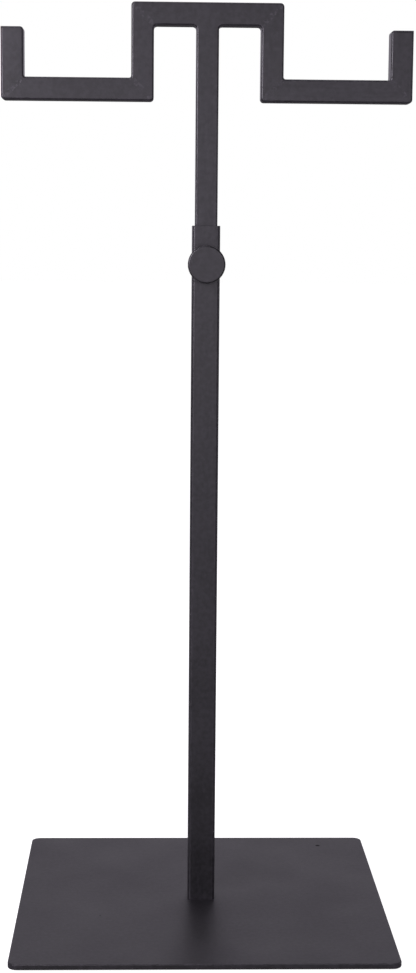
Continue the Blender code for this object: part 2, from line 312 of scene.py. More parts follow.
# %% [markdown]
# ### Colour, gloss and relief
# On a real coat all three come from how thick the powder lies. So the same clouds, peel and grain
# drive them together here, because a colour that ignores the relief looks like a stain. The tone
# stays within a narrow range of near-black, and most of what shows is the gloss.

# %% Colour of the coat
COAT_DARK = (0.0018, 0.0016, 0.0021)
COAT_PALE = (0.0115, 0.0105, 0.0128)
COAT_EDGE = (0.030, 0.028, 0.033)
NIB_COLOUR = (0.001, 0.001, 0.001)
CLOUD_SHARE = 0.4  # of the mottle; the orange peel gives the rest
WELD_PALE = 0.8  # how far the coat pales where a weld was ground


def coat_colour(tree, clouds, peel, welds, nib):
    """Dark with a paler mottle, paler again on edges and ground welds, with black nibs."""
    cloudy = combine(tree, "MULTIPLY", clouds, CLOUD_SHARE)
    mottle = combine(tree, "ADD", cloudy, combine(tree, "MULTIPLY", peel, 1 - CLOUD_SHARE))
    tone = blend_colours(tree, spread(tree, mottle, 0.40, 0.60), COAT_DARK, COAT_PALE)
    thin = spread(tree, peel, 0.40, 0.75, 0.2, 0.5)
    thin = combine(tree, "MULTIPLY", attribute(tree, "edge_wear"), thin)
    pale = combine(tree, "MAXIMUM", thin, combine(tree, "MULTIPLY", welds, WELD_PALE))
    tone = blend_colours(tree, pale, tone, COAT_EDGE)
    return blend_colours(tree, nib, tone, NIB_COLOUR)


# %% Gloss of the coat
CLOUD_GLOSS = 0.04  # the roughness drifts by this much with the clouds
GRAIN_GLOSS = 0.03  # and by this much with the grain
NIB_DULL = 0.5


def coat_gloss(tree, rough, drawn, clouds, grain, lines, nib):
    """A roughness that drifts round a middle value and is higher at a nib."""
    gloss = spread(tree, clouds, 0.3, 0.7, rough - CLOUD_GLOSS, rough + CLOUD_GLOSS)
    for pattern, swing in ((grain, GRAIN_GLOSS), (lines, drawn)):
        gloss = combine(tree, "ADD", gloss, spread(tree, pattern, 0.3, 0.7, -swing, swing))
    return combine(tree, "ADD", gloss, combine(tree, "MULTIPLY", nib, NIB_DULL))


# %% Relief of the coat
PEEL_HEIGHT, GRAIN_HEIGHT, WELD_HEIGHT, NIB_HEIGHT = 0.016 * MM, 0.004 * MM, 0.05 * MM, 0.06 * MM


def coat_relief(tree, peel, grain, welds, nib):
    """Four bumps, each laid on top of the one before."""
    relief = bump(tree, peel, PEEL_HEIGHT, 0.6)
    relief = bump(tree, grain, GRAIN_HEIGHT, 0.5, relief)
    relief = bump(tree, welds, WELD_HEIGHT, 0.6, relief)
    return bump(tree, nib, NIB_HEIGHT, 0.8, relief)


# %% The coat itself
CLOUDS, PEEL, GRAIN, WELD_WAVES = 22.0, 420.0, 2600.0, 620.0  # waves per metre
CHIP_SIZE = 1.6 * MM


def powder_coat(name, rough=0.36, drawn=0.0, chip_at=None):
    """Black satin powder coat. Its roughness, drawn lines and chip differ from piece to piece."""
    material, tree, shader, where = start_finish(name, specular=0.6)
    clouds, peel, grain = (noise(tree, where, scale, 3.0) for scale in (CLOUDS, PEEL, GRAIN))
    uneven = spread(tree, noise(tree, where, WELD_WAVES), 0.50, 0.62)
    welds = combine(tree, "MULTIPLY", attribute(tree, "weld"), uneven)
    lines = drawn_lines(tree, where)
    nib = nibs(tree, where)
    if chip_at:
        nib = combine(tree, "MAXIMUM", nib, chip(tree, where, chip_at, CHIP_SIZE))
    colour = coat_colour(tree, clouds, peel, welds, nib)
    gloss = coat_gloss(tree, rough, drawn, clouds, grain, lines, nib)
    relief = coat_relief(tree, peel, grain, welds, nib)
    for value, socket in ((colour, "Base Color"), (gloss, "Roughness"), (relief, "Normal")):
        tree.links.new(value, shader.inputs[socket])
    return material


CHIP_PLACE = (0.0738, 0.0859, high("base_plate").z)  # near the plate's back edge, on the right
tube_coat = powder_coat("tube_powder_coat", drawn=0.035)
base_coat = powder_coat("base_powder_coat", rough=0.46, chip_at=CHIP_PLACE)
knob_coat = powder_coat("knob_powder_coat")
print("coats:", tube_coat.name, base_coat.name, knob_coat.name)

# %% [markdown]
# ## The small finishes
# The stud, the base screw and the block in the tube's foot are zinc-plated steel: bright, slightly
# blue and finely scratched. The pads are black rubber, the guide is black plastic, and the thumb
# screw's tip is natural nylon, which lets a little light in. None of these shows much, but each
# still gets its own surface.

# %% Zinc plate
ZINC_DULL, ZINC_BRIGHT = (0.40, 0.41, 0.43), (0.56, 0.56, 0.56)
ZINC_SCRATCH = 0.006 * MM


def zinc_plate(name):
    material, tree, shader, where = start_finish(name, specular=0.5, metallic=1.0)
    patches = noise(tree, where, 240.0, 4.0)
    scratches = noise(tree, where, 2600.0, 5.0)
    tone = blend_colours(tree, spread(tree, patches, 0.35, 0.65), ZINC_DULL, ZINC_BRIGHT)
    tree.links.new(tone, shader.inputs["Base Color"])
    tree.links.new(spread(tree, scratches, 0.3, 0.7, 0.24, 0.42), shader.inputs["Roughness"])
    tree.links.new(bump(tree, scratches, ZINC_SCRATCH, 0.4), shader.inputs["Normal"])
    return material


zinc = zinc_plate("zinc_plated_steel")
print("plated:", zinc.name)


# %% Rubber, plastic and nylon
def moulded(name, dark, pale, rough, grain_scale, grain_height):
    """A moulded plastic or rubber with a fine grain from its mould."""
    material, tree, shader, where = start_finish(name, specular=0.45)
    grain = noise(tree, where, grain_scale, 4.0)
    tone = blend_colours(tree, spread(tree, grain, 0.35, 0.65), dark, pale)
    tree.links.new(tone, shader.inputs["Base Color"])
    gloss = spread(tree, grain, 0.3, 0.7, rough - 0.06, rough + 0.06)
    tree.links.new(gloss, shader.inputs["Roughness"])
    tree.links.new(bump(tree, grain, grain_height, 0.6), shader.inputs["Normal"])
    return material


pad_rubber = moulded(
    "pad_rubber", (0.012, 0.012, 0.012), (0.022, 0.022, 0.022),
    rough=0.82, grain_scale=2200.0, grain_height=0.03 * MM,
)
guide_plastic = moulded(
    "guide_plastic", (0.014, 0.014, 0.015), (0.022, 0.022, 0.023),
    rough=0.50, grain_scale=1800.0, grain_height=0.01 * MM,
)
nylon = moulded(
    "natural_nylon", (0.56, 0.54, 0.48), (0.66, 0.64, 0.58),
    rough=0.42, grain_scale=1400.0, grain_height=0.01 * MM,
)
nylon_shader = nylon.node_tree.nodes["Principled BSDF"]
nylon_shader.inputs["Subsurface Weight"].default_value = 0.3
nylon_shader.inputs["Subsurface Radius"].default_value = (MM, MM, MM)
print("moulded:", pad_rubber.name, guide_plastic.name, nylon.name)

# %% [markdown]
# ## The head
# On the real stand the head is seven lengths of square tube, mitred, welded and ground flush,
# with the stem butted to the middle of the bridge. Modelling each bar alone would leave seven
# sets of ends to match. Instead the whole head is drawn once as a flat outline, given its depth
# and rounded in one go, and then sawn apart at the real mitres. The cuts meet exactly, and the
# rounding runs through each corner the way ground steel does.

# %% Head outline
HOOK_FILLET = 1.1 * MM  # inside a hook's two corners
BRIDGE_FILLET = 1.6 * MM  # inside the bridge's two corners
STEM_FILLET = 1.8 * MM  # where the stem meets the bridge; it still clears the outer tube's mouth
CORNER_ROUND = 2.0 * MM  # outside a mitred corner
TIP_ROUND = 1.8 * MM  # at the closed end of a tip, on its inner side
TIP_EDGE = 0.5 * MM  # the same on its outer side
BAR_ROUND = 1.6 * MM  # along a bar
WALL = 1.0 * MM
SPARE = 2.0 * MM  # drawn past an end that is sawn off later
CAP = tip_end - high("right_hook_tip").z  # cap plate, with the hair of room under it


def both_sides(right_half):
    return right_half + [(-x, z) for x, z in reversed(right_half)]


def head_outline():
    return both_sides([
        (bar / 2, stem_bottom - SPARE),
        (bar / 2, bridge_underside),
        (riser_inner, bridge_underside),
        (riser_inner, hook_underside),
        (tip_outer, hook_underside),
        (tip_outer, tip_end),
        (tip_inner, tip_end),
        (tip_inner, hook_floor),
        (riser_outer, hook_floor),
        (riser_outer, bridge_top),
    ])


def bore_outline():
    """The hollow in the seven bars, one wall inside the outline."""
    return both_sides([
        (riser_inner + WALL, bridge_underside + WALL),
        (riser_inner + WALL, hook_underside + WALL),
        (tip_outer - WALL, hook_underside + WALL),
        (tip_outer - WALL, tip_end - CAP / 4),
        (tip_inner + WALL, tip_end - CAP / 4),
        (tip_inner + WALL, hook_floor - WALL),
        (riser_outer - WALL, hook_floor - WALL),
        (riser_outer - WALL, bridge_top - WALL),
    ])


def stem_bore_outline():
    half, bottom, top = bar / 2 - WALL, stem_bottom - SPARE / 2, bridge_underside
    return [(half, bottom), (half, top), (-half, top), (-half, bottom)]


# %% [markdown]
# The corners are rounded before the long edges. Each kind of corner has its own radius: a
# generous one outside, a small weld fillet inside, and a larger one where the stem is welded on.
# The rounding uses an even number of steps, so that the middle of each arc falls on the mitre
# and the saw meets a ready-made row of points. The outer edge of a tip is only broken, and it
# comes last, because the round along a bar can't turn an outside corner tighter than itself.

# %% Round the head
MITRED = [(riser_outer, bridge_top), (riser_inner, hook_underside), (tip_outer, hook_underside)]
CORNERS = (  # radius, steps, places
    (CORNER_ROUND, 6, MITRED),
    (TIP_ROUND, 6, [(tip_inner, tip_end)]),
    (HOOK_FILLET, 4, [(riser_outer, hook_floor), (tip_inner, hook_floor)]),
    (BRIDGE_FILLET, 4, [(riser_inner, bridge_underside)]),
    (STEM_FILLET, 4, [(bar / 2, bridge_underside)]),
)


def edges_at(shape, corners):
    """The edges along Y at these corners, on both sides of the middle."""
    return [
        edge
        for edge in shape.edges
        if abs(edge.verts[0].co.y - edge.verts[1].co.y) > bar / 2
        and any(
            math.hypot(abs(edge.verts[0].co.x) - x, edge.verts[0].co.z - z) < ON_PLANE
            for x, z in corners
        )
    ]


def rim_edges(shape):
    """The edges between the broad front or back face and the sides."""
    flat = [face for face in shape.faces if abs(face.normal.y) > 0.99]
    return {edge for face in flat for edge in face.edges}


def head_shape(hollow=True):
    shape = bmesh.new()
    for name in ("edge_wear", "weld", "level"):
        shape.faces.layers.float.new(name)
    outline_solid(shape, head_outline(), bar)
    for radius, steps, corners in CORNERS:
        round_edges(shape, edges_at(shape, corners), radius, steps)
    round_edges(shape, rim_edges(shape), BAR_ROUND, steps=4)
    round_edges(shape, edges_at(shape, [(tip_outer, tip_end)]), TIP_EDGE, steps=2)
    if hollow:
        outline_solid(shape, bore_outline(), bar - 2 * WALL, inward=True)
        outline_solid(shape, stem_bore_outline(), bar - 2 * WALL, inward=True)
    return shape


# %% [markdown]
# ## Sawing the head apart
# Each mitre is a plane at 45 degrees through one inner and one outer corner. A plane is endless,
# so a bar needs every cut that separates it from the rest, and a last cut beside the stem where
# a slanting plane would also catch that. Each bar is cut from a fresh copy of the whole head.

# %% Mitre planes
BELOW_BRIDGE = 0.55 * MM  # the saw line under the bridge, clear of the middle of its fillets
stem_line = bridge_underside - BELOW_BRIDGE
cap_line = tip_end - CAP


def mitre(side, kind):
    """A point on a mitre and the direction along the head, outwards from the middle."""
    planes = {
        "bridge": ((riser_outer, bridge_top), (1, -1)),
        "riser": ((riser_outer, hook_floor), (1, -1)),
        "hook": ((tip_inner, hook_floor), (1, 1)),
    }
    (x, z), (run_x, run_z) = planes[kind]
    return Vector((side * x, 0, z)), Vector((side * run_x, 0, run_z))


# %% [markdown]
# ## Ground welds
# A mitre is welded and then ground flush, so it leaves no bead, only a strip where the metal is
# a little uneven and the coat lies differently. That strip has a definite place, which a pattern
# in space couldn't find. So the mesh is scored beside each mitre, the faces on the strip get the
# value 1 of a named number, and the coat reads that number. Level bars are marked in the same
# way, because their drawn lines run along X instead of Z.

# %% Welds and level bars
WELD_BAND = 1.3 * MM


def mark_faces(shape, name, faces):
    """Gives these faces the value 1 of a named number that the coat reads."""
    layer = shape.faces.layers.float[name]
    for face in faces:
        face[layer] = 1.0


def weld_band(shape, point, towards):
    """Marks a strip beside a mitre, where the weld was ground flush."""
    towards = Vector(towards).normalized()
    line = point - towards * WELD_BAND
    everything = list(shape.verts) + list(shape.edges) + list(shape.faces)
    bmesh.ops.bisect_plane(
        shape, geom=everything, dist=SAME_POINT, plane_co=line, plane_no=towards
    )
    beside = [face for face in shape.faces if (face.calc_center_median() - line).dot(towards) > 0]
    mark_faces(shape, "weld", beside)


# %% The six bars beside the bridge
def head_bar(name, side, inner, outer, level=False):
    """One bar of the head, from its inner mitre to its outer one or, without one, to its cap."""
    shape = head_shape()
    point, outwards = mitre(side, inner)
    ends = [(point, -outwards)]
    if outer:
        ends.append(mitre(side, outer))
    else:
        saw(shape, (0, 0, cap_line), (0, 0, 1))
    for point, towards in ends:
        saw(shape, point, towards)
    saw(shape, (side * riser_inner / 2, 0, 0), (-side, 0, 0))
    for point, towards in ends:
        weld_band(shape, point, towards)
    if level:
        mark_faces(shape, "level", shape.faces)
    finish_piece(name, shape, tube_coat, "stem")


for side_name, side in (("left", -1), ("right", 1)):
    head_bar(side_name + "_riser", side, "bridge", "riser")
    head_bar(side_name + "_hook_bar", side, "riser", "hook", level=True)
    head_bar(side_name + "_hook_tip", side, "hook", None)

# %% The bridge
bridge = head_shape()
for side in (-1, 1):
    corner, outwards = mitre(side, "bridge")
    saw(bridge, corner, outwards)
saw(bridge, (0, 0, stem_line), (0, 0, -1))
for side in (-1, 1):
    weld_band(bridge, *mitre(side, "bridge"))
mark_faces(bridge, "level", bridge.faces)
finish_piece("top_bar", bridge, tube_coat, "stem")

# %% The stem
stem = head_shape()
saw(stem, (0, 0, stem_line), (0, 0, 1))
saw(stem, (bar, 0, 0), (1, 0, 0))
saw(stem, (-bar, 0, 0), (-1, 0, 0))
saw(stem, (0, 0, stem_bottom), (0, 0, -1))
finish_piece("stem_tube", stem, tube_coat, "stem")

# %% [markdown]
# ## Tip caps
# A small plate closes each upturned tip, with a plug that holds it square in the tube. It is cut
# from a solid copy of the same head, so its sides and rounded end flow on from the tip.

# %% Tip caps
PLUG_FIT = 0.3 * MM  # room between a plug and the tube round it
PLUG_ROUND = 0.3 * MM
PLUG_OVERLAP = 0.1 * MM  # how far a plug reaches up into its plate


def add_plug(shape, centre, top, half, reach):
    """Adds a square plug that hangs below a plate and reaches a little way into it."""
    plug = bmesh.ops.create_cube(shape, size=1.0)["verts"]
    bmesh.ops.scale(shape, verts=plug, vec=(2 * half, 2 * half, reach))
    bmesh.ops.translate(shape, verts=plug, vec=(centre, 0, top - reach / 2))
    edges = {edge for vertex in plug for edge in vertex.link_edges}
    round_edges(shape, upright(edges, reach), PLUG_ROUND, steps=3)


for side_name, side in (("left", -1), ("right", 1)):
    node = side_name + "_tip_cap"
    middle = side * (tip_inner + tip_outer) / 2
    cap = head_shape(hollow=False)
    corner, outwards = mitre(side, "hook")
    saw(cap, corner, -outwards)
    saw(cap, (0, 0, cap_line), (0, 0, -1))
    plug_top = cap_line + PLUG_OVERLAP
    plug_half = bar / 2 - WALL - PLUG_FIT
    add_plug(cap, middle, plug_top, plug_half, plug_top - low(node).z)
    finish_piece(node, cap, tube_coat, "stem")

# %% [markdown]
# ## Drilling
# Three pieces have a round hole between two flats: the front wall of the outer tube, for the
# thumb screw, and the base plate and the block in the tube's foot, for the screw from below. A
# Boolean would do, but it leaves slivers to clean up. Instead the two flat faces come off,
# circles are laid at each change of radius, the flats are filled again round the first and last
# circle, and the circles are bridged into the wall of the hole.

# %% Drill
HOLE_STEPS = 48


def flat_face_at(shape, point, along):
    """The flat face, square to along, that holds the point."""
    for face in shape.faces:
        in_plane = abs((point - face.calc_center_median()).dot(along)) < ON_PLANE
        square = abs(face.normal.dot(along)) > 0.999
        if in_plane and square and bmesh.geometry.intersect_face_point(face, point):
            return face


def loop_edges(loop):
    return list({edge for vertex in loop for edge in vertex.link_edges})


def drill(shape, place, rings):
    """Opens a round hole between two flats: rings are (radius, depth) along the Z of place."""
    shape.normal_update()
    along = place.to_3x3() @ Vector((0, 0, 1))
    loops = []
    for radius, depth in rings:
        at = place @ Matrix.Translation((0, 0, depth))
        made = bmesh.ops.create_circle(shape, radius=radius, segments=HOLE_STEPS, matrix=at)
        loops.append(loop_edges(made["verts"]))
    for edges, depth in ((loops[0], rings[0][1]), (loops[-1], rings[-1][1])):
        flat = flat_face_at(shape, place @ Vector((0, 0, depth)), along)
        rim = list(flat.edges)
        bmesh.ops.delete(shape, geom=[flat], context="FACES_ONLY")
        bmesh.ops.triangle_fill(shape, edges=rim + edges, use_beauty=True, normal=along)
    for upper, lower in zip(loops, loops[1:]):
        bmesh.ops.bridge_loops(shape, edges=upper + lower)
    bmesh.ops.recalc_face_normals(shape, faces=shape.faces)


# %% [markdown]
# ## The outer tube
# The tube is a rounded square solid with a square void right through it, sawn at both ends.
# Tube is cut on a saw and lightly dressed, so the outer rim at the top gets a tiny rounding. Its
# foot stands on the plate, and the hair of room that the frame leaves there is closed.

# %% Outer tube
plate_low, plate_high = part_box("base_plate")
post_side = high("post_tube").x - low("post_tube").x
post_top = high("post_tube").z
POST_WALL = 1.2 * MM
POST_ROUND = 1.6 * MM  # along its outer edges
BORE_ROUND = 0.3 * MM  # along the corners of its bore
DRESSED_EDGE = 0.2 * MM


def rounded_column(shape, side, bottom, top, radius, inward=False):
    """An upright square column with rounded long edges."""
    half = side / 2
    outline = [(half, bottom), (half, top), (-half, top), (-half, bottom)]
    faces = outline_solid(shape, outline, side, inward)
    edges = {edge for face in faces for edge in face.edges}
    round_edges(shape, upright(edges, top - bottom), radius, steps=5)


def top_rim(shape, level, half):
    """The outer edges of a sawn end."""
    def on_rim(vertex):
        outside = max(abs(vertex.co.x), abs(vertex.co.y)) > half - MM
        return outside and abs(vertex.co.z - level) < SAME_POINT

    return [
        edge
        for edge in shape.edges
        if all(on_rim(vertex) for vertex in edge.verts)
        and any(abs(face.normal.z) < 0.5 for face in edge.link_faces)
    ]


post = bmesh.new()
rounded_column(post, post_side, plate_high.z - SPARE, post_top + SPARE, POST_ROUND)
bore_side = post_side - 2 * POST_WALL
bore_bottom, bore_top = plate_high.z - 2 * SPARE, post_top + 2 * SPARE
rounded_column(post, bore_side, bore_bottom, bore_top, BORE_ROUND, inward=True)
saw(post, (0, 0, post_top), (0, 0, 1))
saw(post, (0, 0, plate_high.z), (0, 0, -1))
post.normal_update()
round_edges(post, top_rim(post, post_top, post_side / 2), DRESSED_EDGE, steps=2)

# %% Screw hole in its front wall
SCREW_HOLE = 3.3 * MM  # its radius
forward = Matrix.Translation((0, 0, clamp_height)) @ Matrix.Rotation(math.radians(90), 4, "X")
drill(post, forward, [(SCREW_HOLE, post_side / 2 - POST_WALL), (SCREW_HOLE, post_side / 2)])
finish_piece("post_tube", post, tube_coat, "base")

# %% [markdown]
# ## The base plate
# A plain 3 mm plate with rounded corners and softly broken edges. A cube is the right start: its
# four upright edges take the corner radius, then the top and bottom rims take a small round. The
# hole in the middle is countersunk from below, so the screw's head lies flush.

# %% Base plate
PLATE_CORNER = 5.0 * MM
PLATE_EDGE = 0.5 * MM
plate = bmesh.new()
corners = bmesh.ops.create_cube(plate, size=1.0)["verts"]
bmesh.ops.scale(plate, verts=corners, vec=plate_high - plate_low)
bmesh.ops.translate(plate, verts=corners, vec=(plate_high + plate_low) / 2)
round_edges(plate, upright(plate.edges, plate_high.z - plate_low.z), PLATE_CORNER, steps=10)
plate.normal_update()
flats = [face for face in plate.faces if abs(face.normal.z) > 0.99]
round_edges(plate, {edge for face in flats for edge in face.edges}, PLATE_EDGE, steps=3)

# %% Countersunk hole
SCREW_FIT = 0.3 * MM  # room round a screw in its hole
screw_head = (high("base_screw").x - low("base_screw").x) / 2
screw_shank = 2.5 * MM
cone_top = plate_low.z + (screw_head - screw_shank)
hole = [
    (screw_shank + SCREW_FIT, plate_high.z),
    (screw_shank + SCREW_FIT, cone_top),
    (screw_head + SCREW_FIT, plate_low.z),
]
drill(plate, Matrix.Identity(4), hole)
finish_piece("base_plate", plate, base_coat, "base")

# %% [markdown]
# ## Turned pieces
# The knob, the nylon tip and the pads are plain round pieces, so each is half a profile spun
# about its axis. The profiles of the knob and the tip are measured along the thumb screw, forward
# from the tube's middle, and the finished shape is then turned to face the front.

# %% Spin a profile
def spin_profile(profile, steps=64):
    """A closed solid spun about Z; its points of radius and height start and end on the axis."""
    shape = bmesh.new()
    points = [shape.verts.new((x, 0, z)) for x, z in profile]
    edges = [shape.edges.new(pair) for pair in zip(points, points[1:])]
    bmesh.ops.spin(
        shape, geom=points + edges, cent=(0, 0, 0), axis=(0, 0, 1),
        angle=math.tau, steps=steps, use_merge=True,
    )
    bmesh.ops.remove_doubles(shape, verts=shape.verts, dist=SAME_POINT)
    bmesh.ops.recalc_face_normals(shape, faces=shape.faces)
    return shape


def quarter(centre_x, centre_z, radius, start, steps=5):
    """Points round a quarter circle, clockwise from start in degrees."""
    angles = [math.radians(start - 90 * i / steps) for i in range(steps + 1)]
    return [(centre_x + radius * math.cos(a), centre_z + radius * math.sin(a)) for a in angles]


def face_forward(shape):
    """Turns a shape made along Z so that it points out of the front, at the clamp's height."""
    bmesh.ops.transform(shape, matrix=forward, verts=shape.verts)


# %% Knob
knob_front, knob_back = -low("clamp_knob").y, -high("clamp_knob").y
knob_radius = (high("clamp_knob").x - low("clamp_knob").x) / 2
KNOB_EDGE = 0.9 * MM
HUB_RADIUS, HUB_LENGTH = 4.8 * MM, 2.0 * MM
HUB_FILLET = 0.4 * MM  # where the hub meets the disc
HUB_EDGE = 0.3 * MM
stud_radius = 3.0 * MM
stud_back = -low("clamp_stud").y  # where the stud ends inside the knob
disc_back = knob_back + HUB_LENGTH
knob_profile = [(0, knob_front), (knob_radius / 2, knob_front)]
knob_profile += quarter(knob_radius - KNOB_EDGE, knob_front - KNOB_EDGE, KNOB_EDGE, 90)
knob_profile += quarter(knob_radius - KNOB_EDGE, disc_back + KNOB_EDGE, KNOB_EDGE, 0)
knob_profile += [
    (HUB_RADIUS + HUB_FILLET, disc_back),
    (HUB_RADIUS, disc_back - HUB_FILLET),
    (HUB_RADIUS, knob_back + HUB_EDGE),
    (HUB_RADIUS - HUB_EDGE, knob_back),
    (stud_radius, knob_back),
    (stud_radius, stud_back),
    (0, stud_back),
]
knob = spin_profile(knob_profile, 96)
face_forward(knob)
finish_piece("clamp_knob", knob, knob_coat, "clamp_screw")

# %% [markdown]
# ## The threaded stud
# A stud of 6 mm has a turn of thread every millimetre. The thread is one tooth, spun about the
# axis while each step moves along it by a small part of the pitch. Neighbouring turns then share
# their edges, and merging the doubles closes them into one skin. Sawing off both ends gives the
# stud its exact length, and the saw's cap follows the cut tooth by itself.

# %% Thread
PITCH = 1.0 * MM
TOOTH = (0.613, 0.354, 0.125)  # depth, flank and crest of a standard 60 degree tooth, in pitches


def threaded_rod(radius, pitch, bottom, top, steps=28):
    """A rod about Z with an outside thread and two sawn ends."""
    shape = bmesh.new()
    depth, flank, crest = (share * pitch for share in TOOTH)
    start = bottom - pitch
    tooth = [
        (radius - depth, start),
        (radius, start + flank),
        (radius, start + flank + crest),
        (radius - depth, start + 2 * flank + crest),
        (radius - depth, start + pitch),
    ]
    points = [shape.verts.new((x, 0, z)) for x, z in tooth]
    edges = [shape.edges.new(pair) for pair in zip(points, points[1:])]
    turns = math.ceil((top - bottom) / pitch) + 2
    bmesh.ops.spin(
        shape, geom=points + edges, cent=(0, 0, 0), axis=(0, 0, 1), dvec=(0, 0, pitch / steps),
        angle=turns * math.tau, steps=turns * steps, use_merge=False,
    )
    bmesh.ops.remove_doubles(shape, verts=shape.verts, dist=SAME_POINT)
    bmesh.ops.recalc_face_normals(shape, faces=shape.faces)
    saw(shape, (0, 0, top), (0, 0, 1))
    saw(shape, (0, 0, bottom), (0, 0, -1))
    return shape


stud_front = -high("clamp_stud").y
stud = threaded_rod(stud_radius, PITCH, stud_front, stud_back)
face_forward(stud)
finish_piece("clamp_stud", stud, zinc, "clamp_screw")

# %% [markdown]
# ## The nylon tip
# A plug of nylon on the end of the stud presses on the coated stem without marking it. Its nose
# is slightly domed, so it bears in the middle.

# %% Nylon tip
tip_front, tip_back = -high("clamp_tip").y, -low("clamp_tip").y
tip_radius = (high("clamp_tip").x - low("clamp_tip").x) / 2
NOSE = 0.5 * MM  # how long the domed nose is
NOSE_EDGE = 0.15 * MM
NYLON_EDGE = 0.2 * MM
tip_profile = [
    (0, tip_back),
    (tip_radius - NYLON_EDGE, tip_back),
    (tip_radius, tip_back - NYLON_EDGE),
    (tip_radius, tip_front + NOSE),
    (tip_radius - NOSE_EDGE, tip_front + NOSE / 2),
    (tip_radius * 0.7, tip_front + NOSE / 6),
    (0, tip_front),
]
nylon_tip = spin_profile(tip_profile, 48)
face_forward(nylon_tip)
finish_piece("clamp_tip", nylon_tip, nylon, "clamp_tip")

# %% [markdown]
# ## Rings that aren't round
# The nut and the socket of the base screw have six sides, but their other parts are round. A
# stack of rings handles both: every ring has the same number of points, so neighbours bridge
# cleanly, and a ring's radius and height may each be a number or a rule that depends on the angle.

# %% Stack of rings
def stack_rings(shape, rings, closed=False, count=48):
    """Bridges rings about Z; the ends are joined to each other, or else capped."""
    loops = []
    for radius, height in rings:
        loop = bmesh.ops.create_circle(shape, radius=1.0, segments=count)["verts"]
        for vertex in loop:
            angle = math.atan2(vertex.co.y, vertex.co.x)
            reach = radius(angle) if callable(radius) else radius
            level = height(angle) if callable(height) else height
            vertex.co = (reach * math.cos(angle), reach * math.sin(angle), level)
        loops.append(loop_edges(loop))
    for lower, upper in zip(loops, loops[1:]):
        bmesh.ops.bridge_loops(shape, edges=lower + upper)
    if closed:
        bmesh.ops.bridge_loops(shape, edges=loops[-1] + loops[0])
    else:
        for end in (loops[0], loops[-1]):
            bmesh.ops.edgeloop_fill(shape, edges=end)
    bmesh.ops.recalc_face_normals(shape, faces=shape.faces)


def hexagon(across_flats):
    """The radius of a hexagon at an angle; its corners point along X."""
    def reach(angle):
        return across_flats / 2 / math.cos(angle % math.radians(60) - math.radians(30))
    return reach


# %% [markdown]
# ## The nut
# A 1.2 mm wall can't hold a thread, so a nut is welded to the front of the tube. Turning a nut's
# face at 30 degrees cuts a cone through the six sides, which leaves the curved edges that every
# nut has. Here the cone's height follows from how far the hexagon reaches beyond the round face.

# %% Nut
nut_front, nut_back = -low("clamp_nut").y, post_side / 2
across_flats = high("clamp_nut").z - low("clamp_nut").z
nut_face = 0.95 * across_flats / 2  # the flat round face in front
nut_bore = stud_radius + 0.1 * MM
nut_side = hexagon(across_flats)
NUT_LEAD_IN = 0.4 * MM
CHAMFER = math.radians(30)


def chamfered(angle):
    return nut_front - (nut_side(angle) - nut_face) * math.tan(CHAMFER)


nut = bmesh.new()
nut_rings = [
    (nut_bore, nut_back),
    (nut_side, nut_back),
    (nut_side, chamfered),
    (nut_face, nut_front),
    (nut_bore + NUT_LEAD_IN, nut_front),
    (nut_bore, nut_front - NUT_LEAD_IN),
]
stack_rings(nut, nut_rings, closed=True)
face_forward(nut)
finish_piece("clamp_nut", nut, tube_coat, "base", sharp=25)

# %% [markdown]
# ## The screw from below
# A countersunk screw with a hexagon socket pulls the block in the tube's foot down onto the
# plate. Its head is a cone that seats in the countersink, with a thin straight rim.

# %% Base screw
screw_low, screw_high = low("base_screw").z, high("base_screw").z
SOCKET = 3.0 * MM  # across its flats
SOCKET_DEPTH = 1.6 * MM
SOCKET_FLOOR = 0.2 * MM  # the cone that the drill left
SOCKET_EDGE = 0.15 * MM
HEAD_EDGE = 0.1 * MM
RIM = 0.25 * MM
SCREW_POINT = 0.6 * MM
base_screw = bmesh.new()
screw_rings = [
    (SOCKET / 4, screw_low + SOCKET_DEPTH + SOCKET_FLOOR),
    (hexagon(SOCKET), screw_low + SOCKET_DEPTH),
    (hexagon(SOCKET), screw_low + SOCKET_EDGE),
    (hexagon(SOCKET + 2 * SOCKET_EDGE), screw_low),
    (screw_head - HEAD_EDGE, screw_low),
    (screw_head, screw_low + HEAD_EDGE),
    (screw_head, screw_low + RIM),
    (screw_shank, screw_low + RIM + screw_head - screw_shank),
    (screw_shank, screw_high - SCREW_POINT),
    (screw_shank - SCREW_POINT, screw_high),
]
stack_rings(base_screw, screw_rings)
finish_piece("base_screw", base_screw, zinc, "base", sharp=25)

# %% [markdown]
# ## Floor pads
# Four thin rubber discs keep the plate off the table. Their lower rim is rounded, as on a moulded
# pad, and a shallow dish in the underside lets them grip. They reach up to the plate's underside.

# %% Pads
PAD_RIM = 0.5 * MM
PAD_DISH = 0.3 * MM  # depth of the dish


def floor_pad(node):
    bottom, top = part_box(node)
    radius = (top.x - bottom.x) / 2
    profile = [(0, PAD_DISH), (radius * 0.55, PAD_DISH), (radius * 0.65, 0)]
    profile += reversed(quarter(radius - PAD_RIM, PAD_RIM, PAD_RIM, 0))
    profile += [(radius, plate_low.z), (0, plate_low.z)]
    pad = spin_profile(profile, 48)
    middle = (bottom + top) / 2
    bmesh.ops.translate(pad, verts=pad.verts, vec=(middle.x, middle.y, 0))
    finish_piece(node, pad, pad_rubber, "base")


for end in ("front", "back"):
    for side_name in ("left", "right"):
        floor_pad(f"floor_pad_{end}_{side_name}")

# %% [markdown]
# ## Inside the tubes
# Two pieces never show. A block in the tube's foot takes the base screw, and a plastic guide in
# the stem's lower end keeps the stem from rattling. Both start as a short rounded column. The
# block is drilled through, and the guide's plug is its top face, inset and drawn up.

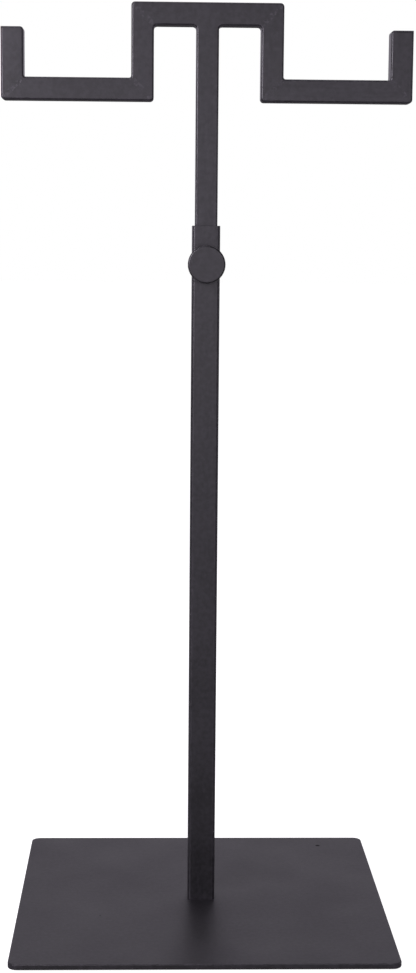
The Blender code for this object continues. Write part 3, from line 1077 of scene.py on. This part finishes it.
# %% Foot block
block_low, block_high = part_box("post_foot_plug")
block = bmesh.new()
rounded_column(block, block_high.x - block_low.x, plate_high.z, block_high.z, BORE_ROUND)
TAPPED_HOLE = 2.6 * MM  # its radius
LEAD_IN = 0.5 * MM
tapped = [
    (TAPPED_HOLE, block_high.z),
    (TAPPED_HOLE, plate_high.z + LEAD_IN),
    (TAPPED_HOLE + LEAD_IN, plate_high.z),
]
drill(block, Matrix.Identity(4), tapped)
finish_piece("post_foot_plug", block, zinc, "base")

# %% Stem guide
GUIDE_ROUND = 0.8 * MM
guide_low, guide_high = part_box("stem_guide")
flange_top = stem_bottom
guide = bmesh.new()
rounded_column(guide, guide_high.x - guide_low.x, guide_low.z, flange_top, GUIDE_ROUND)
guide.normal_update()
flange = next(face for face in guide.faces if face.normal.z > 0.99)
bmesh.ops.inset_region(guide, faces=[flange], thickness=WALL + PLUG_FIT, use_even_offset=True)
drawn = bmesh.ops.extrude_face_region(guide, geom=[flange])
plug_top = [item for item in drawn["geom"] if isinstance(item, bmesh.types.BMVert)]
bmesh.ops.delete(guide, geom=[flange], context="FACES_ONLY")
bmesh.ops.translate(guide, verts=plug_top, vec=(0, 0, guide_high.z - flange_top))
finish_piece("stem_guide", guide, guide_plastic, "stem")

# %% [markdown]
# ## The floor, light and camera
# Black satin paint shows mostly what it reflects, so the look of this stand is the look of the
# room. A large softbox in front and a little to the right gives the grey of the front faces. A
# small strong key at the left draws the light lines along the left edges. A
# pale sweep behind shows in the base plate, and weak softboxes overhead, at the right and at the
# back left keep those sides from going black. The pale floor glows for the camera alone, which
# keeps it pale in the picture without flooding the undersides of the bars.

# %% Floor
def camera_sees(tree):
    return tree.nodes.new("ShaderNodeLightPath").outputs["Is Camera Ray"]


FLOOR_RADIUS = 14.0
FLOOR_DARK, FLOOR_PALE = (0.43, 0.43, 0.43), (0.45, 0.45, 0.45)
FLOOR_GLOW = 1.0
WHITE = (1.0, 1.0, 1.0)
floor_shape = bmesh.new()
bmesh.ops.create_circle(floor_shape, cap_ends=True, radius=FLOOR_RADIUS, segments=96)
floor_mesh = bpy.data.meshes.new("floor")
floor_shape.to_mesh(floor_mesh)
floor_shape.free()
floor = bpy.data.objects.new("floor", floor_mesh)
bpy.context.scene.collection.objects.link(floor)
floor_paper, tree, shader, where = start_finish("floor_paper", specular=0.0)
fibres = spread(tree, noise(tree, where, 3.0), 0.3, 0.7)
tree.links.new(blend_colours(tree, fibres, FLOOR_DARK, FLOOR_PALE), shader.inputs["Base Color"])
shader.inputs["Roughness"].default_value = 1.0
shader.inputs["Emission Color"].default_value = (*WHITE, 1.0)
glow = combine(tree, "MULTIPLY", camera_sees(tree), FLOOR_GLOW)
tree.links.new(glow, shader.inputs["Emission Strength"])
floor_mesh.materials.append(floor_paper)
print("floor", 2 * FLOOR_RADIUS, "m across")

# %% Room
LIGHT_TINT = (1.00, 0.93, 1.07)  # a trace of violet in all the light
SIDES, SWEEP = 0.08, 0.63  # brightness of the room's sides and of the pale sweep behind
SWEEP_START, SWEEP_FULL = 0.45, 0.85  # how squarely a direction has to point to the back
world = bpy.data.worlds.new("studio")
world.use_nodes = True
tree = world.node_tree
background = tree.nodes["Background"]
parts = tree.nodes.new("ShaderNodeSeparateXYZ")
tree.links.new(tree.nodes.new("ShaderNodeTexCoord").outputs["Generated"], parts.inputs["Vector"])
room = spread(tree, parts.outputs["Y"], SWEEP_START, SWEEP_FULL, SIDES, SWEEP)
lit = camera_sees(tree)
tree.links.new(combine(tree, "MAXIMUM", room, lit), background.inputs["Strength"])
tree.links.new(blend_colours(tree, lit, LIGHT_TINT, WHITE), background.inputs["Color"])
bpy.context.scene.world = world
bpy.context.scene.view_settings.view_transform = "Standard"


# %% Softboxes
def softbox(name, place, aim, width, height, brightness):
    """A rectangular area light that looks at a point; brightness is what a mirror would show."""
    light = bpy.data.lights.new(name, "AREA")
    light.shape = "RECTANGLE"
    light.size, light.size_y = width, height
    light.energy = brightness * width * height * math.pi
    light.color = LIGHT_TINT
    lamp = bpy.data.objects.new(name, light)
    bpy.context.scene.collection.objects.link(lamp)
    lamp.location = place
    lamp.rotation_euler = (Vector(aim) - Vector(place)).to_track_quat("-Z", "Y").to_euler()
    print(f"{name}: {width} by {height} m, brightness {brightness}")


SOFTBOXES = (  # name, place, aim, width, height, brightness
    ("front_softbox", (0.45, -3.0, 0.45), (0, 0, 0.35), 1.8, 0.95, 1.95),
    ("key_softbox", (-0.80, -1.15, 0.75), (0, 0, 0.3), 0.6, 0.6, 15.2),
    ("top_softbox", (-0.2, -0.2, 1.8), (0, 0, 0), 1.2, 1.2, 1.5),
    ("back_left_softbox", (-2.3, 1.9, 0.7), (0, 0, 0.2), 1.3, 1.3, 1.0),
    ("right_softbox", (2.3, -0.1, 0.4), (0, 0, 0.3), 1.1, 1.1, 1.6),
)
for box in SOFTBOXES:
    softbox(*box)

# %% Camera
CAMERA_PLACE = (-0.0275, -1.0133, 0.3745)
CAMERA_YAW, CAMERA_PITCH, CAMERA_ROLL = 1.682, 7.658, 0.48  # degrees; pitch is downwards
FOCAL_LENGTH, SENSOR = 68.85, 36.0  # both in mm
lens = bpy.data.cameras.new("camera")
lens.lens = FOCAL_LENGTH
lens.sensor_width = SENSOR
camera = bpy.data.objects.new("camera", lens)
bpy.context.scene.collection.objects.link(camera)
turn = Matrix.Rotation(math.radians(-CAMERA_YAW), 4, "Z")
turn = turn @ Matrix.Rotation(math.radians(90 - CAMERA_PITCH), 4, "X")
turn = turn @ Matrix.Rotation(math.radians(CAMERA_ROLL), 4, "Z")
camera.matrix_world = Matrix.Translation(CAMERA_PLACE) @ turn
bpy.context.scene.camera = camera
print("camera with a lens of", FOCAL_LENGTH, "mm")
